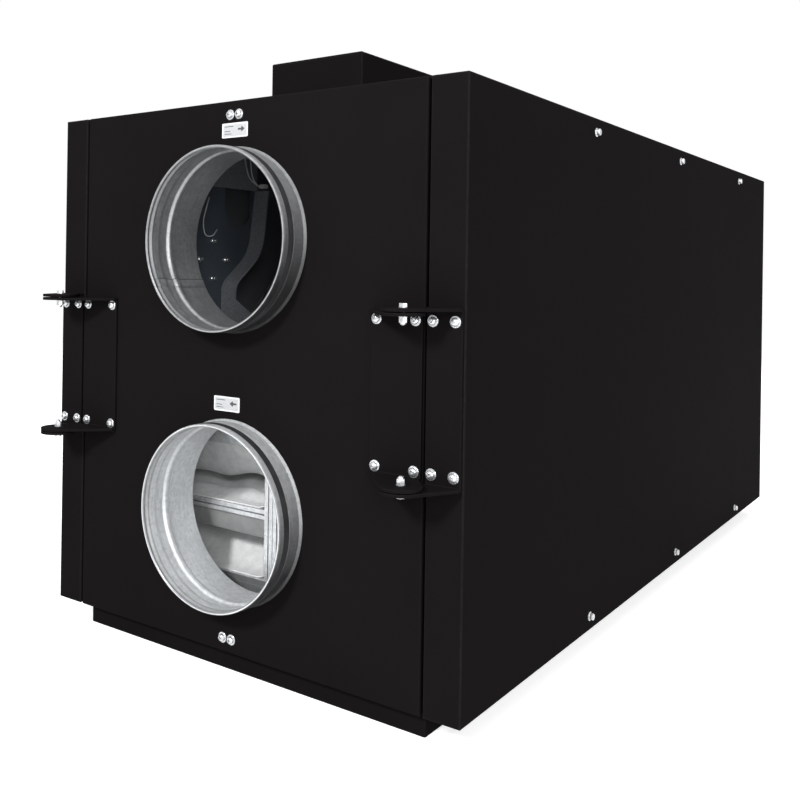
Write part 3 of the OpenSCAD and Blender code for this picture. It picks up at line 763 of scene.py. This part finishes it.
def lap_strip(spigots, height, start):
    """Thin strip along the tube: a flat loop across the lap, carried along the axis over the pressed rings.
    The radius is the tube's, less the stop ring and the seal groove's ridge, less the lap's step."""
    inner_end, rim = -44.5 * MM, 32.5 * MM
    along = np.linspace(inner_end, rim, 155)
    ring = soft_bend((6 * MM - np.abs(along)) / (5 * MM))
    rise = soft_bend((along - 12.5 * MM) / (7.5 * MM))
    ridge = np.minimum(rise, soft_bend((rim - along) / (4.5 * MM)))
    inner = spigots.tube_r - spigots.ring * ring - spigots.ridge * ridge
    across = np.array([0, 0.08, 0.5, 0.92, 1, 1, 0.5, 0]) * spigots.lap_w
    step = np.array([0.3, 1, 1, 1, 0.6, -0.3, -0.3, -0.3]) * spigots.lap_t
    radius = inner[:, None] - step
    turn = start + across / spigots.tube_r
    return xyz(radius * np.cos(turn), FRONT_Y - along[:, None], height + radius * np.sin(turn))


# Filter cloth

# Pockets from the bottom up: rise of the slack middle, and share of the slack height that stays open
POCKETS = (("lower", 0.008, 2.4), ("upper", -0.022, 1.0))


def pocket(cells, middle, mouth_w, mouth_h, phase, rise, gape):
    """Slack pocket as a function of the turn round its girth and the way along its length. The girth is a
    clipped circle, so a rectangle with rounded corners; its half height falls from the mouth's to the slack
    height, its middle rises or drops, and waves across it grow behind the frame."""
    play, clip = 0.7 * MM, 1.34
    broad, narrow, fine = 31 * MM, 13.7 * MM, 6.1 * MM
    turn = ring_angles(POCKET_POINTS[0])[:, None]
    deep = np.linspace(0, 1, POCKET_POINTS[1])[None, :] ** 1.25 * cells.length
    behind = deep - (cells.frame_depth - cells.set_back)
    close = smoothstep(behind / cells.collapse + 0.15)
    half_h = (mouth_h / 2 - play) * (1 - close) + gape * cells.slack_h * close
    half_h = half_h * (1 - 0.8 * smoothstep((deep - 0.94 * cells.length) / (0.06 * cells.length)))
    half_w = mouth_w / 2 - play - 3.0 * MM * smoothstep(behind / 0.05)
    across = np.clip(clip * np.cos(turn), -1, 1)
    upward = np.clip(clip * np.sin(turn), -1, 1)
    x = half_w * across
    ramp = smoothstep((deep - 0.006) / 0.05)
    wave = np.sin(x / broad + phase) + 0.6 * np.sin(x / narrow + 2.3 * phase + deep / 0.022)
    crease = 0.22 * np.sin(x / fine + 5 * np.sin(deep / 0.03 + phase)) * (1 - close)
    lift = rise * smoothstep(behind / 0.03) * (1 - 0.6 * smoothstep((deep - 0.075) / 0.06))
    z = half_h * upward + ramp * (lift + cells.wave * (0.55 * wave + crease))
    pinch = 0.0035 * ramp * np.sin(deep / 0.019 + x / 0.045 + phase)
    y = deep + pinch * (1 - np.abs(across))
    return xyz(middle[0] + x, middle[1] + y, middle[2] + z)


def flap(cells, middle, face, top, width):
    """Stiff flap that hangs from the divider over a lower pocket: nearly flat, with a slow wave along its
    lower edge and a slight lean inwards."""
    x = np.linspace(-0.5, 0.5, 60)[:, None] * (width - 1.5 * MM)
    down = np.linspace(0, 1, 14)[None, :]
    y = face + 0.004 + 0.004 * down ** 2 + 0.0012 * down * np.sin(x / 0.027)
    z = top - down * cells.flap_h * (1 + 0.05 * np.sin(x / 0.04))
    return xyz(middle + x, y, z)


def hang(name, grid, around, material, end, thickness):
    """Makes one sheet of cloth of a grid, with its thickness."""
    grid = turned(grid, end)
    piece = make_piece(name, [grid], material, around, sharp=80, closed=False)
    solid = piece.modifiers.new("Cloth", "SOLIDIFY")
    solid.thickness = thickness
    solid.offset = 0
    if around:
        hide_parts(f"{end}_filter_pockets")


# Fan fittings, with the places of clip and leads counted from the fan's axis on the face of the motor's boss

# Radius and height of a motor stud's rings, from its foot up
STUD = ((0.0034, 0), (0.0034, 0.0030), (0.0028, 0.0036), (0.0026, 0.0036), (0.0026, 0.0068),
        (0.0020, 0.0076), (0, 0.0076))
LEAD_R = 0.9 * MM


def fan_strip():
    """Strip that closes the gap between the fan plate and the roof: a thin rounded loop carried along Y,
    drawn to its middle at both ends."""
    low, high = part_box("front_fan_plate")
    loop = rounded_loop(2.0 * MM, ROOF_Z - high.z - 0.4 * MM, 0.6 * MM)
    ends = np.array([(0, low.y), (1, low.y), (1, high.y), (0, high.y)])
    ring = loop[:, None, :] * ends[None, :, :1] + [low.x + 3.2 * MM, (ROOF_Z + high.z) / 2]
    return xyz(ring[..., 0], ends[:, 1], ring[..., 1])


def lead_clip():
    """Folded clip at the head of the scroll wall: a rounded loop carried across the wall."""
    loop = rounded_loop(0.010, 0.006, 0.0025)
    steps = np.array([(0.2, 0.013), (1, 0.014), (1, 0.022), (0.2, 0.023)])
    ring = loop[:, None, :] * steps[None, :, :1]
    return xyz(steps[:, 1], 0.084 + ring[..., 0], 0.104 + ring[..., 1])


def lead_routes(roof):
    """Routes of the thin leads: two from the roof down to the clip, one curled on the plate."""
    out = 0.010
    yield [(out, 0.052, roof), (out, 0.062, 0.116), (out, 0.080, 0.105)]
    yield [(out, 0.064, roof), (out, 0.070, 0.115), (out, 0.084, 0.103)]
    yield [(0.0012, -0.008, 0.084), (0.0052, -0.017, 0.070), (0.0072, -0.025, 0.050),
           (0.0052, -0.019, 0.033), (0.0042, -0.004, 0.032), (0.0012, 0.009, 0.042)]


# Studio

# Width, height and place of each lamp; all of them look at the aim
LAMPS = (
    ("key", (0.35, 0.35), (0.10, -2.7, 1.5)),
    ("fill", (2.4, 2.4), (2.9, -0.9, 1.2)),
    ("top", (3.0, 3.0), (0.2, -0.3, 2.9)),
    ("back", (2.0, 2.0), (-1.7, 2.9, 1.7)),
    ("front", (0.5, 0.9), (1.5, -2.1, 0.9)))
AIM = Vector((0, -0.2, 0.3))
FLOOR_HALF = 30.0


def add_camera(scene, stage):
    """Camera at the photograph's place: level along +Y, then turned by yaw, pitch and roll."""
    lens = bpy.data.cameras.new("Camera")
    lens.sensor_width = 36
    lens.lens = stage.focal_px * lens.sensor_width / stage.frame_px
    lens.shift_x = 0.5 - stage.centre_px[0] / stage.frame_px
    lens.shift_y = stage.centre_px[1] / stage.frame_px - 0.5
    eye = bpy.data.objects.new("Camera", lens)
    look = Matrix.Rotation(stage.yaw, 4, "Z") @ Matrix.Rotation(math.pi / 2 + stage.pitch, 4, "X")
    eye.matrix_world = Matrix.Translation(stage.eye) @ look @ Matrix.Rotation(stage.roll, 4, "Z")
    scene.collection.objects.link(eye)
    scene.camera = eye


def seen(nodes):
    """One for rays from the camera, from gloss and through glass."""
    path = nodes.put("LightPath")
    return nodes.largest(path["Is Camera Ray"], path["Is Glossy Ray"], path["Is Transmission Ray"])


def add_floor(scene, stage):
    """Pale floor that shows white where it is lit, and keeps the object's shadow."""
    edge = np.array([-FLOOR_HALF, FLOOR_HALF])
    mesh = bpy.data.meshes.new("Floor")
    mesh.from_pydata(xyz(edge[:, None], edge, 0).reshape(-1, 3).tolist(), [], quads(2, 2).tolist())
    look = Look(
        "Floor", Roughness=0.9, Base_Color=(*stage.floor, 1), Specular_IOR_Level=0.0,
        Emission_Color=(1, 1, 1, 1))
    mesh.materials.append(look.link(Emission_Strength=look.times(seen(look), stage.glow)))
    floor = bpy.data.objects.new("Floor", mesh)
    scene.collection.objects.link(floor)


def add_world(scene, stage):
    """White background for what looks at it, and softer light for the rest."""
    scene.world = bpy.data.worlds.new("Studio")
    scene.world.use_nodes = True
    nodes = Nodes(scene.world.node_tree)
    back = nodes.tree.nodes["Background"].inputs
    back["Color"].default_value = (1, 1, 1, 1)
    nodes.tree.links.new(nodes.ranged(seen(nodes), 0, 1, stage.ambient, 1.0), back["Strength"])


def add_lamp(scene, name, energy, size, place):
    """Flat lamp that looks at the aim."""
    lamp = bpy.data.lights.new(name, "AREA")
    lamp.energy = energy
    lamp.shape = "RECTANGLE"
    lamp.size, lamp.size_y = size
    holder = bpy.data.objects.new(name, lamp)
    holder.location = place
    holder.rotation_euler = (AIM - Vector(place)).to_track_quat("-Z", "Y").to_euler()
    scene.collection.objects.link(holder)


# Operators

class AIRUNIT_OT_finish_casing(bpy.types.Operator):
    """Paint the casing, doors, hinge leaves and control box"""

    bl_idname = "airunit.finish_casing"
    bl_label = "Finish casing"

    def execute(self, context):
        finish = context.scene.air_finish
        dress(
            paint_material("Casing paint", finish, rub_and_highlight=0.25, inner=finish.inner), "front_panel", "back_panel",
            "roof_panel", "floor_panel", "base_pan", "control_box", "control_box_cover")
        # Doors get the strongest edge lightening: a painted highlight along their edges at the seams, along
        # with rubbed paint
        door = paint_material("Door paint", finish, rub_and_highlight=1.0, inner=finish.liner)
        hinge = paint_material("Hinge paint", finish, rub_and_highlight=0.15, inner=finish.inner)
        for side in SIDES:
            dress(door, f"{side}_door", f"{side}_door_liner")
            dress(hinge, f"{side}_fixed_leaf", f"{side}_door_leaf")
        dress(plastic_material("Gland nylon", finish.gland, roughness=0.4), "control_box_glands")
        return {"FINISHED"}


class AIRUNIT_OT_finish_metal(bpy.types.Operator):
    """Give spigots, seals, bolts and inner frames their metal and rubber"""

    bl_idname = "airunit.finish_metal"
    bl_label = "Finish metal and rubber"

    def execute(self, context):
        finish = context.scene.air_finish
        spigots = context.scene.air_spigots
        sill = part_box("front_filter_frame")[0].z + context.scene.air_filters.bar

        # Painted shadow: the filter frame's bottom bar and the rails below the sill are darkened
        def painted_shade_under_sill(look):
            return look.ranged(look.parts(look.place)[2], sill, sill - MM, 0, 0.75)

        MATERIALS["zinc"] = zinc_material(finish)
        rubber = rubber_material(finish)
        frames = galvanised_material("Galvanised frame", finish, 0.6, level_marks, bright=0.7)
        cell = galvanised_material("Galvanised filter frame", finish, 0.5, level_marks, dark=painted_shade_under_sill)
        dress(frames, "exchanger_frame", "exchanger_rails")
        for side in SIDES:
            dress(MATERIALS["zinc"], f"{side}_hinge_bolts")
            dress(rubber, f"{side}_door_gasket")
        for end in ENDS:
            dress(cell, f"{end}_filter_frame", f"{end}_filter_rails")
        # The upper spigots get a darker copy of the galvanised sheet and the lower ones a lighter copy:
        # painted shade and painted light
        for level, lap, metallic, bright in (
                ("upper", spigots.upper_lap, 0.7, 0.62), ("lower", spigots.lower_lap, 0.4, 1.0)):
            low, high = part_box(f"front_{level}_spigot")
            MATERIALS[level] = spigot_material(
                f"Galvanised {level} spigot", finish, (low.z + high.z) / 2, spigots, lap, metallic, bright)
            for end in ENDS:
                dress(MATERIALS[level], f"{end}_{level}_spigot")
                dress(rubber, f"{end}_{level}_seal")
        return {"FINISHED"}


class AIRUNIT_OT_finish_inside(bpy.types.Operator):
    """Finish the exchanger, shelves and fans"""

    bl_idname = "airunit.finish_inside"
    bl_label = "Finish inside"

    def execute(self, context):
        finish = context.scene.air_finish
        dress(exchanger_material(finish), "exchanger_core")
        MATERIALS["fan"] = fan_material(finish)
        black = plastic_material("Fan black", finish.fan, roughness=0.38)
        for end in ENDS:
            dress(MATERIALS["fan"], f"{end}_shelf", f"{end}_fan_plate")
            dress(black, f"{end}_fan_motor", f"{end}_fan_wheel")
        return {"FINISHED"}


class AIRUNIT_OT_hinge_screws(bpy.types.Operator):
    """Put washered screws through the hinge leaves"""

    bl_idname = "airunit.hinge_screws"
    bl_label = "Hinge screws"

    def execute(self, context):
        screws = context.scene.air_screws
        head = domed_head(screws, hexagon, screws.socket_r)
        outer, inner = screws.hinge_columns[:2], screws.hinge_columns[2:]
        for side, sign in SIDES.items():
            for part, body, places in (("door", f"{side}_door", outer), ("fixed", "casing", inner)):
                origins = [
                    (sign * (HALF_W - place), FRONT_Y - screws.leaf, CASE_MID + row * screws.hinge_rise)
                    for place in places for row in (-1, 1)]
                heads_piece(f"{side}_{part}_leaf_screws", head, origins, (0, -1, 0), body)
        return {"FINISHED"}


class AIRUNIT_OT_panel_screws(bpy.types.Operator):
    """Put screw pairs on the end panels and rows of screws on the doors"""

    bl_idname = "airunit.panel_screws"
    bl_label = "Panel and door screws"

    def execute(self, context):
        screws = context.scene.air_screws
        pan = domed_head(screws, cross_slot, screws.slot_r)
        rows = (CASE_TOP - screws.pair_edge, CASE_LOW + screws.pair_edge)
        for end, sign in ENDS.items():
            face = FRONT_Y if sign > 0 else BACK_Y
            origins = [(step * screws.pair_gap / 2, face, z) for z in rows for step in (-1, 1)]
            heads_piece(f"{end}_panel_screws", pan, origins, (0, -sign, 0))
        tall = hex_washer_head(screws)
        levels = (CASE_TOP - screws.door_edge, CASE_LOW + screws.door_edge)
        for side, sign in SIDES.items():
            origins = [(sign * HALF_W, FRONT_Y + back, z) for back in screws.door_rows for z in levels]
            heads_piece(f"{side}_door_screws", tall, origins, (sign, 0, 0), f"{side}_door")
        return {"FINISHED"}


class AIRUNIT_OT_labels(bpy.types.Operator):
    """Stick a plain label with an air arrow above each front spigot"""

    bl_idname = "airunit.labels"
    bl_label = "Labels"

    # Length of each printed bar and its place up, as shares of the label's width and height
    bars = ((0.34, 0.26), (0.22, -0.06), (0.27, -0.24))

    def execute(self, context):
        labels = context.scene.air_labels
        finish = context.scene.air_finish
        white = paper_material("Label paper", finish.paper)
        field = paper_material("Label field", finish.field)
        ink = paper_material("Label ink", finish.ink)
        width, height = labels.size
        inset = 2 * labels.border
        outer = rounded_loop(width, height, labels.corner)
        inner = rounded_loop(width - inset, height - inset, labels.corner / 2)
        bars = [
            rounded_loop(share * width, 0.05 * height, 0.02 * height)
            + [(share / 2 - 0.40) * width, up * height] for share, up in self.bars]
        arrow = arrow_loop(0.26 * width, 0.40 * height)
        base = labels.thickness + labels.field_t
        for level, middle, way in (("upper", labels.upper, 1), ("lower", labels.lower, -1)):
            loops = (arrow * [way, 1] + [0.25 * width, 0.05 * height], *bars)
            sheet = plate(outer, middle, 0.0, labels.thickness)
            tint = plate(inner, middle, labels.thickness, labels.field_t)
            printed = [plate(loop, middle, base, labels.ink_t) for loop in loops]
            make_piece(f"{level}_label", [sheet], white)
            make_piece(f"{level}_label_field", [tint], field)
            make_piece(f"{level}_label_print", printed, ink)
        return {"FINISHED"}


class AIRUNIT_OT_spigot_laps(bpy.types.Operator):
    """Lap the spigot sheet inside each tube"""

    bl_idname = "airunit.spigot_laps"
    bl_label = "Spigot laps"

    def execute(self, context):
        spigots = context.scene.air_spigots
        for end in ENDS:
            for level, turn in (("upper", spigots.upper_lap), ("lower", spigots.lower_lap)):
                low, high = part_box(f"{end}_{level}_spigot")
                strip = turned(lap_strip(spigots, (low.z + high.z) / 2, turn), end)
                make_piece(
                    f"{end}_{level}_spigot_lap", [strip], MATERIALS[level], around=False, along=True)
        return {"FINISHED"}


class AIRUNIT_OT_filter_cloth(bpy.types.Operator):
    """Hang slack cloth pockets and flaps in the filter frames"""

    bl_idname = "airunit.filter_cloth"
    bl_label = "Filter cloth"

    def execute(self, context):
        cells = context.scene.air_filters
        finish = context.scene.air_finish
        white = cloth_material("Filter cloth", finish, shade=1.0)
        # The flap takes a darker copy of the white filter cloth: painted shade
        grey = cloth_material("Flap cloth", finish, shade=0.32)
        low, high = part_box("front_filter_frame")
        mouth_h = (high.z - low.z - 3 * cells.bar) / 2
        mouth_w = high.x - 2 * cells.stile
        for end in ENDS:
            for side, sign in SIDES.items():
                mid_x = sign * high.x / 2
                for row, (level, rise, gape) in enumerate(POCKETS):
                    mid_z = low.z + (row + 1) * cells.bar + (row + 0.5) * mouth_h
                    middle = (mid_x, low.y + cells.set_back, mid_z)
                    phase = 7.1 * row + 1.7 * sign + ENDS[end]
                    bag = pocket(cells, middle, mouth_w, mouth_h, phase, rise, gape)
                    hang(f"{end}_{side}_{level}_pocket", bag, True, white, end, cells.thickness)
                sheet = flap(cells, mid_x, low.y + 0.5 * MM, low.z + cells.bar + mouth_h, mouth_w)
                hang(f"{end}_{side}_flap", sheet, False, grey, end, cells.thickness)
        return {"FINISHED"}


class AIRUNIT_OT_fan_fittings(bpy.types.Operator):
    """Add motor screws, leads and a lead clip to each fan plate"""

    bl_idname = "airunit.fan_fittings"
    bl_label = "Fan fittings"

    def execute(self, context):
        finish = context.scene.air_finish
        jacket = plastic_material("Lead jacket", finish.lead, roughness=0.35)
        nylon = plastic_material("Clip nylon", finish.clip, roughness=0.3)
        low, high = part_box("front_fan_motor")
        boss = np.array([high.x + 2.0 * MM, (low.y + high.y) / 2, (low.z + high.z) / 2])
        ways = np.array([(0, 0, 1), (0, 0, -1), (0, 1, 0), (0, -1, 0)])
        spots = boss + context.scene.air_screws.fan_spread * ways
        for end, sign in ENDS.items():
            heads_piece(f"{end}_motor_screws", lathed(STUD, 20), turned(spots, end), (sign, 0, 0))
            make_piece(f"{end}_fan_strip", [turned(fan_strip(), end)], MATERIALS["fan"])
            make_piece(f"{end}_lead_clip", [turned(boss + lead_clip(), end)], nylon)
            for count, route in enumerate(lead_routes(ROOF_Z - boss[2]), 1):
                path = turned(curve_through(boss + route), end)
                make_piece(f"{end}_lead_{count}", [tube(path, LEAD_R)], jacket)
        return {"FINISHED"}


class AIRUNIT_OT_stage(bpy.types.Operator):
    """Set the camera, the floor and the soft light"""

    bl_idname = "airunit.stage"
    bl_label = "Studio"

    def execute(self, context):
        scene, stage = context.scene, context.scene.air_stage
        scene.view_settings.view_transform = "Standard"
        add_camera(scene, stage)
        add_floor(scene, stage)
        add_world(scene, stage)
        for name, size, place in LAMPS:
            add_lamp(scene, name.capitalize(), getattr(stage, f"{name}_power"), size, place)
        return {"FINISHED"}


class AIRUNIT_PT_panel(bpy.types.Panel):
    """Sidebar list of the dressing steps and their settings"""

    bl_idname = "AIRUNIT_PT_panel"
    bl_label = "Air unit"
    bl_space_type = "VIEW_3D"
    bl_region_type = "UI"
    bl_category = "Air unit"

    def draw(self, context):
        for step in STEPS:
            self.layout.operator(step.bl_idname)
        for name in SETTINGS:
            group = getattr(context.scene, name)
            for key in group.__annotations__:
                self.layout.prop(group, key)


SETTINGS = {
    "air_finish": FinishSettings, "air_screws": ScrewSettings, "air_labels": LabelSettings,
    "air_spigots": SpigotSettings, "air_filters": FilterSettings, "air_stage": StageSettings}
STEPS = (
    AIRUNIT_OT_stage, AIRUNIT_OT_finish_casing, AIRUNIT_OT_finish_metal, AIRUNIT_OT_finish_inside,
    AIRUNIT_OT_hinge_screws, AIRUNIT_OT_panel_screws, AIRUNIT_OT_labels, AIRUNIT_OT_spigot_laps,
    AIRUNIT_OT_filter_cloth, AIRUNIT_OT_fan_fittings)
CLASSES = (*SETTINGS.values(), *STEPS, AIRUNIT_PT_panel)


def register():
    """Registers the classes and puts the settings on the scene."""
    for item in CLASSES:
        bpy.utils.register_class(item)
    for name, kind in SETTINGS.items():
        setattr(bpy.types.Scene, name, PointerProperty(type=kind))


def unregister():
    """Takes the settings off the scene and unregisters the classes."""
    for name in SETTINGS:
        delattr(bpy.types.Scene, name)
    for item in reversed(CLASSES):
        bpy.utils.unregister_class(item)


def main():
    """Runs every step in order."""
    register()
    for step in STEPS:
        space, name = step.bl_idname.split(".")
        getattr(getattr(bpy.ops, space), name)()


if __name__ == "__main__":
    main()
